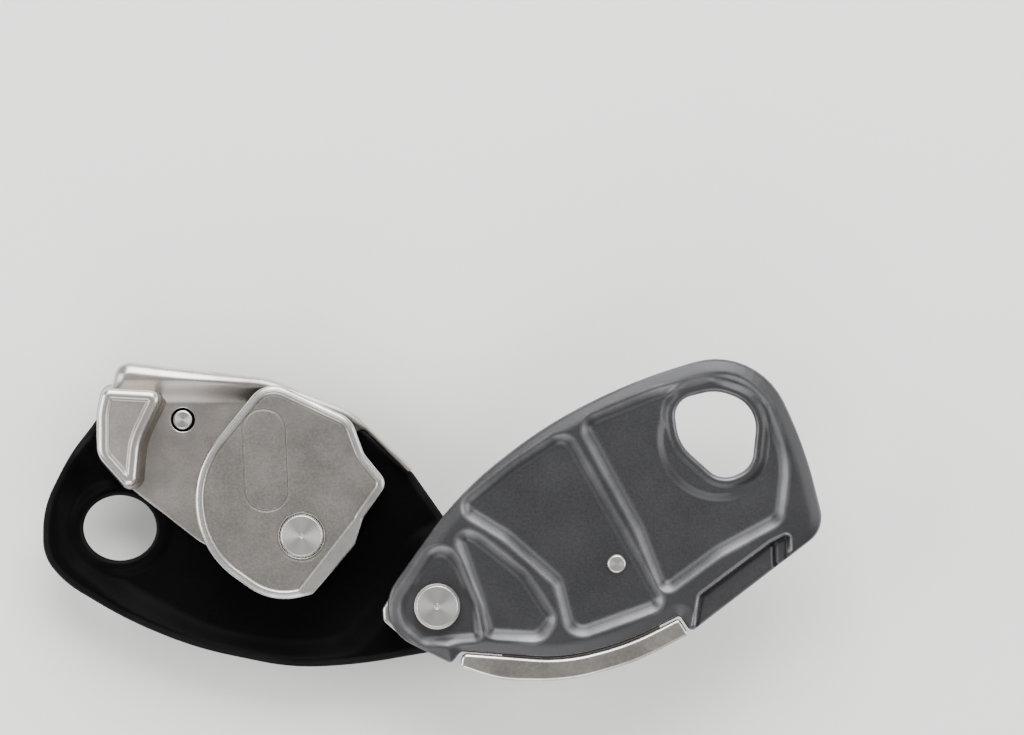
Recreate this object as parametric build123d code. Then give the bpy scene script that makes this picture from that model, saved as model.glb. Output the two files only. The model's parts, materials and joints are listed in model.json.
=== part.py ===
from build123d import *
import math
import os

# Assisted-braking belay device for a single rope, opened flat on its back.
# Millimetres, +Z up.  The outlines are drawn with the cam axle at (0, 0); on export the
# part is shifted so that the origin lies under the middle of its footprint.

# ---- driving dimensions -------------------------------------------------------------
PIVOT = (28.1, -14.4)          # swing pivot of the moving plate, from the cam axle
SELECTOR = (-25.2, 23.9)       # belay-mode selector, from the cam axle
EYE = (-38.4, 1.3)             # carabiner eye of the fixed plate
EYE_SIZE = (15.3, 13.6)        # width and height of that oval eye
EYE_RIM = 2.0                  # width of the raised ring round each eye
ROPE_CHANNEL = 12.7            # clear height for the rope between the two plates
FIT = 0.05                     # radial clearance of a running fit

BACK = 10.0                    # outer face of the fixed plate, above the handle
FLOOR = BACK + 2.4             # inside floor of the fixed plate
RIM_TOP = BACK + 5.0           # top of its rim and of its pivot pad
FRICTION_TOP = FLOOR + 1.5     # face that the rope slides on
LIP_TOP = FRICTION_TOP + 2.6   # crest of the rolled rope lip
PLATE_BOTTOM = FRICTION_TOP + ROPE_CHANNEL + 0.2
PANEL_TOP = PLATE_BOTTOM + 1.7     # pressed panels of the moving plate
PLATE_TOP = PLATE_BOTTOM + 3.2     # its rims and ribs
HEAD_TOP = PLATE_TOP + 1.6         # pivot head
CAM_BOTTOM = FRICTION_TOP + 0.4
CAM_TOP = PLATE_BOTTOM - 0.6
CAM_GROOVE = (CAM_BOTTOM + 2.8, CAM_TOP - 2.6)
GUIDE_TOP = PLATE_BOTTOM - 0.6
ANVIL_TOP = PLATE_BOTTOM - 0.7

AXLE_R = 4.0
AXLE_HEAD_R = 4.55
POST_R = 3.4
POST_HEAD_R = 4.77
BUSH_R = 5.4                   # outside of the cam bush
PLATE_BUSH_R = 4.4             # outside of the moving plate's bush
RIVETS = ((-14.0, 29.2), (8.2, 5.6))       # both behind the cam
RIVET_R = 1.5
STOP_PIN_ORBIT = 17.2
STOP_PIN_ANGLE = 132.0
STOP_PIN_R = 1.3
CORE_R = 11.6                  # steel core of the handle
HUB_R = 14.2                   # moulded hub of the handle
DRIVE_PIN_R = 1.4
DRIVE_PIN_ORBIT = 9.6          # distance of the cam drive pin from the axle
DRIVE_PIN_ANGLE = -100.0
KNOB_R = 7.0
SHAFT_R = 2.0                  # selector shaft
CAM_SWING = 38.0               # clockwise travel of the cam, degrees
HANDLE_SWING = 113.0           # travel of the handle, degrees
HANDLE_REST = -14.0            # direction of the folded handle, degrees
SPRING_ROOM = 28.0             # groove kept for the anti-panic spring, past the pin's reach, degrees
GROOVE_START = DRIVE_PIN_ANGLE - CAM_SWING - 6 - HANDLE_SWING - SPRING_ROOM   # groove in the core
GROOVE_END = DRIVE_PIN_ANGLE + 6 + 22

# ---- outlines: (x, y, corner radius) --------------------------------------------------
FIXED_OUTLINE = [(-48.6, 17.1, 48.7), (-54.4, 5.5, 20.3), (-54.4, -4.7, 9.4), (-49.6, -10.3, 21.0),
                 (-36.9, -17.9, 90), (-22.4, -23.8, 80), (-2.5, -27.9, 51), (11.4, -27.2, 107),
                 (40.7, -22.1, 8.7), (33, -1.8, 4.1), (22.6, 13, 6.2), (8.7, 25, 50), (-7.5, 31.6, 6.2),
                 (-37.8, 34.5, 4.6), (-42.3, 25.2, 45)]
DISH_OUTLINE = [(-46.4, 18.2, 3), (-50.8, 8.4, 12), (-50.2, -3.5, 10), (-37.6, -14, 30),
                (-20.5, -23, 40), (-2.5, -26.6, 40), (9.8, -24.6, 9), (17.8, -15.6, 6),
                (25, -3, 5), (37, 3, 1), (44, 44, 1), (-60, 44, 1), (-60, 26, 1)]
FRICTION_OUTLINE = [(-38.6, 36.2, 3.4), (-7.2, 32.6, 18), (10.5, 25.7, 14), (22.9, 13.6, 0.6),
                    (21.9, 12.6, 0.6), (10.5, 23.7, 1.5), (11, 4, 4), (8.5, -4, 4), (1, -13.8, 5),
                    (-22, -1.5, 8), (-36.4, 9.8, 3), (-43.4, 18.6, 8)]
LIP_INNER = [(-60, 29.6, 1), (-9, 29.6, 12), (9.6, 23.2, 12), (20.6, 12.6, 1), (26, 4, 1), (14, -30, 1),
             (-60, -30, 1)]
GUIDE_OUTLINE = [(-41.2, 30.6, 2), (-28.4, 29.9, 2), (-33.4, 19.5, 14), (-34.2, 10.6, 1.4),
                 (-36.6, 10.1, 1.4), (-42.3, 16.5, 5), (-42.3, 25.5, 12)]
CAM_OUTLINE = [(-7.4, 32.4, 5.8), (-23.1, 13.2, 19.5), (-20.5, -4, 19), (-6.2, -14.1, 13),
               (2.3, -12.1, 1.9), (11, -2, 4.1), (12.7, 3.6, 2.5), (17.8, 10.9, 2.7),
               (12.9, 16.9, 5), (10.2, 24.2, 5.4)]
BADGE_GROOVE = [(-12.5, 26.4, 4.2), (-3.6, 26.0, 4.2), (-2.6, 5.4, 4.2), (-11.5, 5.0, 4.2)]
ANVIL_OUTLINE = [(-11.4, -0.6, 0.8), (-11.2, -3.2, 1), (-6.5, -7.2, 2), (3, -8.2, 4),
                 (8.2, -3, 4), (8.2, 5, 4), (0, 9.3, 3), (-6.6, 6.9, 2.5)]
# the next ones are measured from the pivot
MOVING_OUTLINE = [(-14.6, -3.4, 8.7), (4.6, 23.6, 72), (22.4, 37.5, 96), (40.9, 46.7, 114),
                  (65.8, 54.2, 15.6), (75.7, 33.2, 87), (80.1, 15.9, 6.2), (52.3, -5.5, 1.2),
                  (50, -2, 0.6), (39.4, -7.4, 53), (26.1, -11, 37), (4.8, -9.4, 1.2), (2.9, -11.9, 0.8)]
MOVING_EYE = [(48.6, 42.4, 4.2), (57.5, 44.6, 9), (66.2, 41.4, 7), (64.9, 28.6, 5),
              (58.6, 25.6, 5), (49.8, 33.5, 9)]
STRIP_OUTLINE = [(5.2, -9.7, 1.2), (26.1, -11.3, 37), (39.4, -7.8, 52), (49.8, -2.5, 0.8),
                 (52, -5.9, 0.6), (41.9, -11.3, 52), (27.4, -15.6, 44), (12.9, -15.4, 27),
                 (4.6, -12.6, 0.6)]
TONGUE_OUTLINE = [(12, -12, 1), (20, -1, 6), (33, 5.5, 4), (33.4, 12.4, 3), (40.6, 12.6, 3),
                  (42, 4, 6), (47, -6.5, 1), (28, -12.5, 20)]
PIVOT_PANEL = [(-9.4, -1.6, 5.5), (0.3, 13.2, 3), (4, 8.6, 4), (8, -0.5, 5), (8.6, -6.4, 1.2),
               (-2.6, -7.4, 3)]
HAND_PANEL = [(4.3, 15.2, 1.2), (8, 13.8, 5), (17.4, 6.4, 6), (23.4, -2.6, 1.5), (21, -6.2, 3),
              (11, -5.6, 1.5), (9, 1.6, 6)]
MIDDLE_PANEL = [(5.4, 20.2, 1.5), (14.6, 14.6, 14), (25.2, 5.2, 4), (28, -5.8, 3), (46, 0.6, 1.5),
                (26.2, 35.4, 2.5), (15.4, 28.2, 20)]
EYE_PANEL = [(30.2, 37.6, 2), (41.8, 16.2, 14), (46.8, 3.4, 1.5), (58, 11.6, 20), (70.2, 18.2, 3),
             (71.6, 30, 20), (67.6, 41.2, 3), (61.4, 47.4, 8), (45, 43.6, 20)]
LEDGE = [(52.6, -7, 1), (54.2, 2.2, 1), (68.8, 13.1, 0.6), (72.5, 14.9, 0.6), (72.4, 5, 1), (72, -7, 1)]
LEDGE_GROOVE = (69.6, 10.5, 0.8, 4.2)     # x, y, width, length
STRIP_RIVET = (37.0, 8.7)


# ---- helpers ----------------------------------------------------------------------------
def rounded(points, at=(0, 0)):
    """Closed face from corners with radii, moved to a reference point."""
    line = FilletPolyline(*[(x, y) for x, y, _ in points], radius=[r for _, _, r in points], close=True)
    return Pos(at[0], at[1]) * make_face(line.edges())


def slab(face, low, high):
    return Pos(0, 0, low) * extrude(face, high - low, dir=(0, 0, 1))


def disc(centre, radius, low, high):
    return Pos(centre[0], centre[1], (low + high) / 2) * Cylinder(radius, high - low)


def ring(centre, outer, inner, low, high):
    return disc(centre, outer, low, high) - disc(centre, inner, low - 1, high + 1)


def polar(radius, degrees, centre=(0, 0)):
    angle = math.radians(degrees)
    return centre[0] + radius * math.cos(angle), centre[1] + radius * math.sin(angle)


STOP_PIN = polar(STOP_PIN_ORBIT, STOP_PIN_ANGLE)
CAP_SCREWS = tuple(polar(8.4, HANDLE_REST + a) for a in (60, 180, 300))


def arc_slot(orbit, half_width, start, end, low, high):
    """Solid swept by a pin of radius half_width along an arc about the cam axle."""
    steps = [start, (start + end) / 2, end]
    inner = [polar(orbit - half_width, a) for a in steps]
    outer = [polar(orbit + half_width, a) for a in steps]
    line = Curve() + [ThreePointArc(*outer), Line(outer[2], inner[2]), ThreePointArc(*inner[::-1]),
                      Line(inner[0], outer[0])]
    body = slab(make_face(line.edges()), low, high)
    for angle in (start, end):
        body += disc(polar(orbit, angle), half_width, low, high)
    return body


def coil(centre, radius, wire, low, turns):
    """Closed-wound torsion coil: its wire follows a helix from the height low."""
    path = Helix(pitch=wire * 1.25, height=wire * 1.25 * turns, radius=radius)
    start = Plane(origin=path @ 0, z_dir=path % 0)
    wound = sweep(start * Circle(wire / 2), path=path)
    return Pos(centre[0], centre[1], low + wire / 2) * wound


# ---- fixed side -----------------------------------------------------------------------------
def fixed_side_plate():
    body = slab(rounded(FIXED_OUTLINE), BACK, RIM_TOP)
    outer_edges = body.faces().sort_by(Axis.Z)[0].outer_wire().edges()
    body = chamfer(outer_edges, 1.2)
    body -= slab(rounded(DISH_OUTLINE), FLOOR, RIM_TOP + 1)
    eye_hole = slab(Pos(*EYE) * Ellipse(EYE_SIZE[0] / 2, EYE_SIZE[1] / 2), BACK - 1, FLOOR + 2)
    eye_rim = Pos(*EYE) * Ellipse(EYE_SIZE[0] / 2 + EYE_RIM, EYE_SIZE[1] / 2 + EYE_RIM)
    eye_ring = slab(eye_rim, FLOOR - 0.5, FLOOR + 1)
    body += eye_ring - slab(rounded(FRICTION_OUTLINE), FLOOR, FLOOR + 2)
    body -= eye_hole
    body -= disc((0, 0), AXLE_R, BACK - 1, FLOOR + 1)
    body -= disc(PIVOT, POST_R, BACK - 1, RIM_TOP + 1)
    body -= disc(PIVOT, POST_R + 1.2, BACK - 1, BACK + 0.9)
    body -= disc(SELECTOR, SHAFT_R + FIT, BACK - 1, FLOOR + 1)
    body -= arc_slot(DRIVE_PIN_ORBIT, DRIVE_PIN_R + 0.4, DRIVE_PIN_ANGLE - CAM_SWING - 1,
                     DRIVE_PIN_ANGLE + 1, BACK - 1, FLOOR + 1)
    for centre in RIVETS:
        body -= disc(centre, RIVET_R, BACK - 1, FLOOR + 1)
    body -= disc(STOP_PIN, STOP_PIN_R, BACK - 1, FLOOR + 1)
    return body


def friction_plate():
    """Stainless plate with the hollow rope guide and the rolled lip formed in it."""
    body = slab(rounded(FRICTION_OUTLINE), FLOOR, FRICTION_TOP)
    lip_band = rounded(FRICTION_OUTLINE) - rounded(LIP_INNER)
    body += slab(lip_band, FRICTION_TOP - 0.5, LIP_TOP)
    body += slab(rounded(GUIDE_OUTLINE), FRICTION_TOP - 0.5, GUIDE_TOP)
    body -= slab(offset(rounded(GUIDE_OUTLINE), -1.6), FLOOR - 1, GUIDE_TOP - 1.8)
    body -= disc((0, 0), AXLE_R, FLOOR - 1, FRICTION_TOP + 1)
    body -= disc(SELECTOR, 2.5, FLOOR - 1, FRICTION_TOP + 1)
    body -= arc_slot(DRIVE_PIN_ORBIT, DRIVE_PIN_R + 0.4, DRIVE_PIN_ANGLE - CAM_SWING - 1,
                     DRIVE_PIN_ANGLE + 1, FLOOR - 1, FRICTION_TOP + 1)
    for centre in RIVETS:
        body -= disc(centre, RIVET_R, FLOOR - 1, FRICTION_TOP + 1)
    body -= disc(STOP_PIN, STOP_PIN_R, FLOOR - 1, FRICTION_TOP + 1)
    return body


def friction_plate_rivets():
    """Countersunk rivets that hold the friction plate; flush at both ends."""
    shanks = [disc(centre, RIVET_R, BACK + 0.1, FRICTION_TOP) for centre in RIVETS]
    return Compound(children=shanks)


def brake_anvil():
    body = slab(rounded(ANVIL_OUTLINE, PIVOT), RIM_TOP, ANVIL_TOP)
    return body - disc(PIVOT, POST_R, RIM_TOP - 1, ANVIL_TOP + 1)


def plate_pivot_post():
    body = disc(PIVOT, POST_R, BACK + 0.1, PLATE_TOP)
    body += disc(PIVOT, POST_R + 1.2, BACK + 0.1, BACK + 0.9)
    head = disc(PIVOT, POST_HEAD_R, PLATE_TOP, HEAD_TOP)
    head = chamfer(head.faces().sort_by(Axis.Z)[-1].edges(), 0.5)
    return body + head


def pivot_washer():
    return ring(PIVOT, 6.6, POST_R, ANVIL_TOP, PLATE_BOTTOM)


def cam_axle():
    """Stepped pin: flush head, shank through cam, plates and handle, groove for the ring."""
    body = disc((0, 0), AXLE_R, 1.4, CAM_TOP - 1.6)
    body += disc((0, 0), AXLE_HEAD_R, CAM_TOP - 1.6, CAM_TOP)
    return body - ring((0, 0), AXLE_R + 1, AXLE_R - 0.6, 2.1, 3.0)


def axle_retaining_ring():
    body = ring((0, 0), 5.8, AXLE_R - 0.6, 2.15, 2.95)
    return body - Pos(6, 0, 2.5) * Box(8, 3.0, 3)


def cam_stop_pin():
    return disc(STOP_PIN, STOP_PIN_R, BACK + 0.1, CAM_BOTTOM + 1.4)


# ---- cam ---------------------------------------------------------------------------------------
def cam():
    """Eccentric cam casting: full front flange, waisted rope wall, smaller rear boss."""
    outline = rounded(CAM_OUTLINE)
    body = slab(outline, CAM_GROOVE[1], CAM_TOP)
    body += slab(offset(outline, -1.3), CAM_GROOVE[0], CAM_GROOVE[1])
    body += slab(offset(outline, -0.6) & Circle(22.2), CAM_BOTTOM, CAM_GROOVE[0])
    body -= disc((0, 0), BUSH_R, CAM_BOTTOM - 1, CAM_TOP - 1.6 - 0.1)
    body -= disc((0, 0), AXLE_HEAD_R + 0.5, CAM_TOP - 1.7, CAM_TOP + 1)
    body -= disc(polar(DRIVE_PIN_ORBIT, DRIVE_PIN_ANGLE), DRIVE_PIN_R, CAM_BOTTOM - 1, CAM_BOTTOM + 6)
    body -= arc_slot(STOP_PIN_ORBIT, STOP_PIN_R + 0.5, STOP_PIN_ANGLE - 1, STOP_PIN_ANGLE + CAM_SWING + 1,
                     CAM_BOTTOM - 1, CAM_BOTTOM + 2)
    body -= slab(rounded(BADGE_GROOVE) - offset(rounded(BADGE_GROOVE), -0.5), CAM_TOP - 0.3, CAM_TOP + 1)
    return body


def cam_bush():
    return ring((0, 0), BUSH_R, AXLE_R + FIT, CAM_BOTTOM + 0.1, CAM_TOP - 1.8)


def cam_drive_pin():
    return disc(polar(DRIVE_PIN_ORBIT, DRIVE_PIN_ANGLE), DRIVE_PIN_R, 5.6, CAM_BOTTOM + 5.5)


def cam_return_spring():
    """Torsion spring behind the fixed plate; its long leg bears on the selector shaft."""
    body = coil((0, 0), 6.6, 0.8, 6.9, 2.25)
    leg_z = 9.3
    end = (SELECTOR[0] + 2.1, SELECTOR[1] + 3.6)
    start = polar(6.6, 51)
    length = math.hypot(end[0] - start[0], end[1] - start[1])
    along = Plane(origin=(start[0], start[1], leg_z), z_dir=(end[0] - start[0], end[1] - start[1], 0))
    return body + along * extrude(Circle(0.4), length)


# ---- handle, on the back -------------------------------------------------------------------------
def lever_outline():
    """Waisted lever with a hooked finger tip, drawn along +X and turned to its folded place."""
    points = [(0, 7.0, 3), (20, 6.2, 14), (38, 6.4, 16), (49, 9.5, 5), (51.5, 0, 5), (47, -7.4, 6),
              (22, -5.8, 30), (0, -7.0, 3)]
    return Rot(0, 0, HANDLE_REST) * rounded(points)


def handle_lever():
    body = disc((0, 0), HUB_R, 1.2, 8.9)
    body += slab(lever_outline(), 0.0, 6.6)
    body = fillet(body.faces().sort_by(Axis.Z)[0].outer_wire().edges(), 1.0)
    body -= disc((0, 0), CORE_R, 3.4, 9.5)
    body -= disc((0, 0), 10.4, -1, 1.4)
    body -= disc((0, 0), 6.4, -1, 9.5)
    for centre in CAP_SCREWS:
        body -= disc(centre, 0.9, -1, 3.4)
    return body


def handle_core():
    """Steel core: running bore, seat for the cam spring, arc groove that the drive pin rides in."""
    body = disc((0, 0), CORE_R, 3.4, 8.8)
    body -= disc((0, 0), AXLE_R + 1.0, 2, 10)
    body -= disc((0, 0), 7.3, 6.6, 10)
    body -= arc_slot(DRIVE_PIN_ORBIT, DRIVE_PIN_R + 0.35, GROOVE_START, GROOVE_END, 5.0, 10)
    return body


def handle_bush():
    return ring((0, 0), AXLE_R + 1.0, AXLE_R + FIT, 3.4, 6.4)


def anti_panic_spring():
    """Short arc spring at the groove end, just past the drive pin's reach; it yields if overpulled."""
    return arc_slot(DRIVE_PIN_ORBIT, 0.9, GROOVE_START + 6, GROOVE_START + 17, 5.4, 7.2)


def handle_cap():
    body = disc((0, 0), 10.3, 0.2, 1.2)
    body = chamfer(body.faces().sort_by(Axis.Z)[0].edges(), 0.4)
    for centre in CAP_SCREWS:
        body -= disc(centre, 0.9, -1, 2)
    return body


def handle_cap_screws():
    screws = []
    for centre in CAP_SCREWS:
        screw = disc(centre, 1.6, 0.05, 0.2) + disc(centre, 0.85, 0.1, 3.3)
        screws.append(screw)
    return Compound(children=screws)


# ---- belay-mode selector, on the back ----------------------------------------------------------------
def mode_knob():
    """Round selector with a raised finger bar and an eccentric boss that the spring leg bears on."""
    body = disc(SELECTOR, KNOB_R, 5.6, 8.7)
    body = chamfer(body.faces().sort_by(Axis.Z)[0].edges(), 0.8)
    body += Pos(SELECTOR[0], SELECTOR[1], 4.6) * Rot(0, 0, 46) * Box(11.6, 3.4, 2.4)
    body += disc((SELECTOR[0] + 0.3, SELECTOR[1] + 0.25), 3.2, 8.7, 9.2)
    return body - disc(SELECTOR, SHAFT_R, 4.6, 10)


def mode_shaft():
    body = disc(SELECTOR, SHAFT_R, 4.6, FRICTION_TOP + 0.5)
    return body - Pos(SELECTOR[0], SELECTOR[1], FRICTION_TOP + 0.5) * Rot(0, 0, 46) * Box(3.0, 0.5, 0.6)


def mode_wave_washer():
    return ring(SELECTOR, 3.2, SHAFT_R + FIT, 9.2, BACK)


# ---- moving side ------------------------------------------------------------------------------------
def moving_side_plate():
    outline = rounded(MOVING_OUTLINE, PIVOT)
    body = slab(outline, PLATE_BOTTOM, PLATE_TOP)
    for panel in (PIVOT_PANEL, HAND_PANEL, MIDDLE_PANEL, EYE_PANEL):
        body -= slab(rounded(panel, PIVOT), PANEL_TOP, PLATE_TOP + 1)
    ring_face = offset(rounded(MOVING_EYE, PIVOT), EYE_RIM, kind=Kind.INTERSECTION)
    body += slab(ring_face, PANEL_TOP - 0.5, PLATE_TOP)
    body -= slab(rounded(MOVING_EYE, PIVOT), PLATE_BOTTOM - 1, PLATE_TOP + 1)
    body -= slab(rounded(LEDGE, PIVOT), PLATE_BOTTOM + 1.2, PLATE_TOP + 1)
    x, y, width, length = LEDGE_GROOVE
    body -= Pos(PIVOT[0] + x, PIVOT[1] + y, PLATE_BOTTOM + 2.5) * Rot(0, 0, 2) * Box(width, length, 4)
    body -= slab(rounded(TONGUE_OUTLINE, PIVOT), PLATE_BOTTOM - 1, PLATE_BOTTOM + 0.8)
    body -= disc(PIVOT, PLATE_BUSH_R, PLATE_BOTTOM - 1, PLATE_TOP + 1)
    rivet_hole = (PIVOT[0] + STRIP_RIVET[0], PIVOT[1] + STRIP_RIVET[1])
    return body - disc(rivet_hole, 1.5, PLATE_BOTTOM - 1, PLATE_TOP + 1)


def wear_strip():
    """Stainless rope edge with a tongue let into the underside of the moving plate."""
    bar = slab(rounded(STRIP_OUTLINE, PIVOT), PLATE_BOTTOM, PLATE_TOP - 0.3)
    bar = chamfer(bar.faces().sort_by(Axis.Z)[-1].edges(), 0.5)
    tongue = slab(rounded(TONGUE_OUTLINE, PIVOT), PLATE_BOTTOM, PLATE_BOTTOM + 0.7)
    hole = (PIVOT[0] + STRIP_RIVET[0], PIVOT[1] + STRIP_RIVET[1])
    return bar + tongue - disc(hole, 1.5, PLATE_BOTTOM - 1, PLATE_TOP)


def strip_rivet():
    centre = (PIVOT[0] + STRIP_RIVET[0], PIVOT[1] + STRIP_RIVET[1])
    return disc(centre, 1.5, PLATE_BOTTOM + 0.05, PANEL_TOP) + disc(centre, 1.97, PANEL_TOP, PANEL_TOP + 0.9)


def moving_plate_bush():
    return ring(PIVOT, PLATE_BUSH_R, POST_R + FIT, PLATE_BOTTOM + 0.1, PLATE_TOP - 0.1)


# ---- export --------------------------------------------------------------------------------------------
NODES = [fixed_side_plate, friction_plate, friction_plate_rivets, brake_anvil, plate_pivot_post,
         pivot_washer, cam_axle, axle_retaining_ring, cam_stop_pin, cam, cam_bush, cam_drive_pin,
         cam_return_spring, handle_lever, handle_core, handle_bush, anti_panic_spring, handle_cap,
         handle_cap_screws, mode_knob, mode_shaft, mode_wave_washer, moving_side_plate, wear_strip,
         strip_rivet, moving_plate_bush]


def main():
    os.makedirs("parts", exist_ok=True)
    made = {make.__name__: make() for make in NODES}
    boxes = [shape.bounding_box() for shape in made.values()]
    middle_x = (min(b.min.X for b in boxes) + max(b.max.X for b in boxes)) / 2
    middle_y = (min(b.min.Y for b in boxes) + max(b.max.Y for b in boxes)) / 2
    print("cam axle from the origin:", round(-middle_x, 3), round(-middle_y, 3))
    for name, shape in made.items():
        export_step(Pos(-middle_x, -middle_y, 0) * shape, "parts/" + name + ".step")


main()
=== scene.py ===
import json
import math

import bmesh
import bpy
import numpy as np
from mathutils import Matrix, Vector


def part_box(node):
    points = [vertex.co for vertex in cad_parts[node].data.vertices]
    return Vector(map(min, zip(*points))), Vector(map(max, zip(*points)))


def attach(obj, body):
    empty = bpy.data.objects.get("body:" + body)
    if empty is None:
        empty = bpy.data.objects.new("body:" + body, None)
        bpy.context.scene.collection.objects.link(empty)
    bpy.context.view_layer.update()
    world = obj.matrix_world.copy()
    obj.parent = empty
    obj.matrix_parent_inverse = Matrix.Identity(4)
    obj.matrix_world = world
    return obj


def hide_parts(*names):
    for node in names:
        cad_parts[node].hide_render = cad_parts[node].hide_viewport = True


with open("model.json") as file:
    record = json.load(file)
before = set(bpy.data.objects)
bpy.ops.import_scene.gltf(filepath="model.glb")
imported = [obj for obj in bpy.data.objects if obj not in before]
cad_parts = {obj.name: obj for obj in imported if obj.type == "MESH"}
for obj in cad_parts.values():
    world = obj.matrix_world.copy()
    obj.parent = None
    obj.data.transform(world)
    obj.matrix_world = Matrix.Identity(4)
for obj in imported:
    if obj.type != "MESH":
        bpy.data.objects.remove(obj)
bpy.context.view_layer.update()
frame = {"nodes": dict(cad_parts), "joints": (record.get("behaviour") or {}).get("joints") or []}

bl_info = {
    "name": "Belay device",
    "version": (1, 0, 0),
    "blender": (4, 5, 0),
    "location": "3D View > Sidebar > Belay",
    "description": "Plates, cam, handle and finishes of an assisted-braking belay device",
    "category": "Object",
}

# ---- places and heights, taken from the frame, in millimetres -----------------------------------
MM = 1000.0
JOINTS = {joint["name"]: joint for joint in frame["joints"]}


def place(joint):
    """Plan position of a joint's axis, in millimetres."""
    return np.array(JOINTS[joint]["pos_m"][:2]) * MM


def low(node):
    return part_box(node)[0].z * MM


def high(node):
    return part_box(node)[1].z * MM


AXLE = place("cam_pivot")
PIVOT = place("side_plate_swing")
SELECTOR = place("mode_selector_turn")
EYE = AXLE + (-38.4, 1.3)
EYE_HALF = (7.65, 6.8)
BACK, RIM_TOP = low("fixed_side_plate"), high("fixed_side_plate")
FLOOR = low("friction_plate")
SHEET = 1.5                                   # thickness of the friction plate
FRICTION_TOP = FLOOR + SHEET
LIP_TOP = FRICTION_TOP + 2.6
GUIDE_TOP = high("friction_plate")
CAM_BOTTOM, CAM_TOP = low("cam"), high("cam")
PLATE_BOTTOM, PLATE_TOP = low("moving_side_plate"), high("moving_side_plate")
PANEL_TOP = PLATE_BOTTOM + 1.7

# ---- outlines: (x, y, corner radius), from the cam axle or from the plate pivot -----------------
FIXED_OUTLINE = [(-48.6, 17.1, 48.7), (-54.4, 5.5, 20.3), (-54.4, -4.7, 9.4), (-49.6, -10.3, 21.0),
                 (-36.9, -17.9, 90), (-22.4, -23.8, 80), (-2.5, -27.9, 51), (11.4, -27.2, 107),
                 (40.7, -22.1, 8.7), (33, -1.8, 4.1), (22.6, 13, 6.2), (8.7, 25, 50), (-7.5, 31.6, 6.2),
                 (-37.8, 34.5, 4.6), (-42.3, 25.2, 45)]
DISH_OUTLINE = [(-46.4, 18.2, 3), (-50.8, 8.4, 12), (-50.2, -3.5, 10), (-37.6, -14, 30),
                (-20.5, -23, 40), (-2.5, -26.6, 40), (9.8, -24.6, 9), (17.8, -15.6, 6),
                (25, -3, 5), (37, 3, 1), (44, 44, 1), (-60, 44, 1), (-60, 26, 1)]
FRICTION_OUTLINE = [(-38.6, 36.2, 3.4), (-7.2, 32.6, 18), (10.5, 25.7, 14), (22.9, 13.6, 0.6),
                    (21.9, 12.6, 0.6), (10.5, 23.7, 1.5), (11, 4, 4), (8.5, -4, 4), (1, -13.8, 5),
                    (-22, -1.5, 8), (-36.4, 9.8, 3), (-43.4, 18.6, 8)]
LIP_INNER = [(-60, 29.6, 1), (-9, 29.6, 12), (9.6, 23.2, 12), (20.6, 12.6, 1), (26, 4, 1), (14, -30, 1),
             (-60, -30, 1)]
GUIDE_OUTLINE = [(-41.2, 30.6, 2), (-28.4, 29.9, 2), (-33.4, 19.5, 14), (-34.2, 10.6, 1.4),
                 (-36.6, 10.1, 1.4), (-42.3, 16.5, 5), (-42.3, 25.5, 12)]
CAM_OUTLINE = [(-7.4, 32.4, 5.8), (-23.1, 13.2, 19.5), (-20.5, -4, 19), (-6.2, -14.1, 13),
               (2.3, -12.1, 1.9), (11, -2, 4.1), (12.7, 3.6, 2.5), (17.8, 10.9, 2.7),
               (12.9, 16.9, 5), (10.2, 24.2, 5.4)]
BADGE_GROOVE = [(-12.5, 26.4, 4.2), (-3.6, 26.0, 4.2), (-2.6, 5.4, 4.2), (-11.5, 5.0, 4.2)]
ANVIL_OUTLINE = [(-11.4, -0.6, 0.8), (-11.2, -3.2, 1), (-6.5, -7.2, 2), (3, -8.2, 4),
                 (8.2, -3, 4), (8.2, 5, 4), (0, 9.3, 3), (-6.6, 6.9, 2.5)]
MOVING_OUTLINE = [(-14.6, -3.4, 8.7), (4.6, 23.6, 72), (22.4, 37.5, 96), (40.9, 46.7, 114),
                  (65.8, 54.2, 15.6), (75.7, 33.2, 87), (80.1, 15.9, 6.2), (52.3, -5.5, 1.2),
                  (50, -2, 0.6), (39.4, -7.4, 53), (26.1, -11, 37), (4.8, -9.4, 1.2), (2.9, -11.9, 0.8)]
MOVING_EYE = [(48.6, 42.4, 4.2), (57.5, 44.6, 9), (66.2, 41.4, 7), (64.9, 28.6, 5),
              (58.6, 25.6, 5), (49.8, 33.5, 9)]
STRIP_OUTLINE = [(5.2, -9.7, 1.2), (26.1, -11.3, 37), (39.4, -7.8, 52), (49.8, -2.5, 0.8),
                 (52, -5.9, 0.6), (41.9, -11.3, 52), (27.4, -15.6, 44), (12.9, -15.4, 27),
                 (4.6, -12.6, 0.6)]
PIVOT_PANEL = [(-9.4, -1.6, 5.5), (0.3, 13.2, 3), (4, 8.6, 4), (8, -0.5, 5), (8.6, -6.4, 1.2),
               (-2.6, -7.4, 3)]
HAND_PANEL = [(4.3, 15.2, 1.2), (8, 13.8, 5), (17.4, 6.4, 6), (23.4, -2.6, 1.5), (21, -6.2, 3),
              (11, -5.6, 1.5), (9, 1.6, 6)]
MIDDLE_PANEL = [(5.4, 20.2, 1.5), (14.6, 14.6, 14), (25.2, 5.2, 4), (28, -5.8, 3), (46, 0.6, 1.5),
                (26.2, 35.4, 2.5), (15.4, 28.2, 20)]
EYE_PANEL = [(30.2, 37.6, 2), (41.8, 16.2, 14), (46.8, 3.4, 1.5), (58, 11.6, 20), (70.2, 18.2, 3),
             (71.6, 30, 20), (67.6, 41.2, 3), (61.4, 47.4, 8), (45, 43.6, 20)]
TONGUE_OUTLINE = [(12, -12, 1), (20, -1, 6), (33, 5.5, 4), (33.4, 12.4, 3), (40.6, 12.6, 3),
                  (42, 4, 6), (47, -6.5, 1), (28, -12.5, 20)]
LEDGE = [(52.6, -7, 1), (54.2, 2.2, 1), (68.8, 13.1, 0.6), (72.5, 14.9, 0.6), (72.4, 5, 1), (72, -7, 1)]


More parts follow.
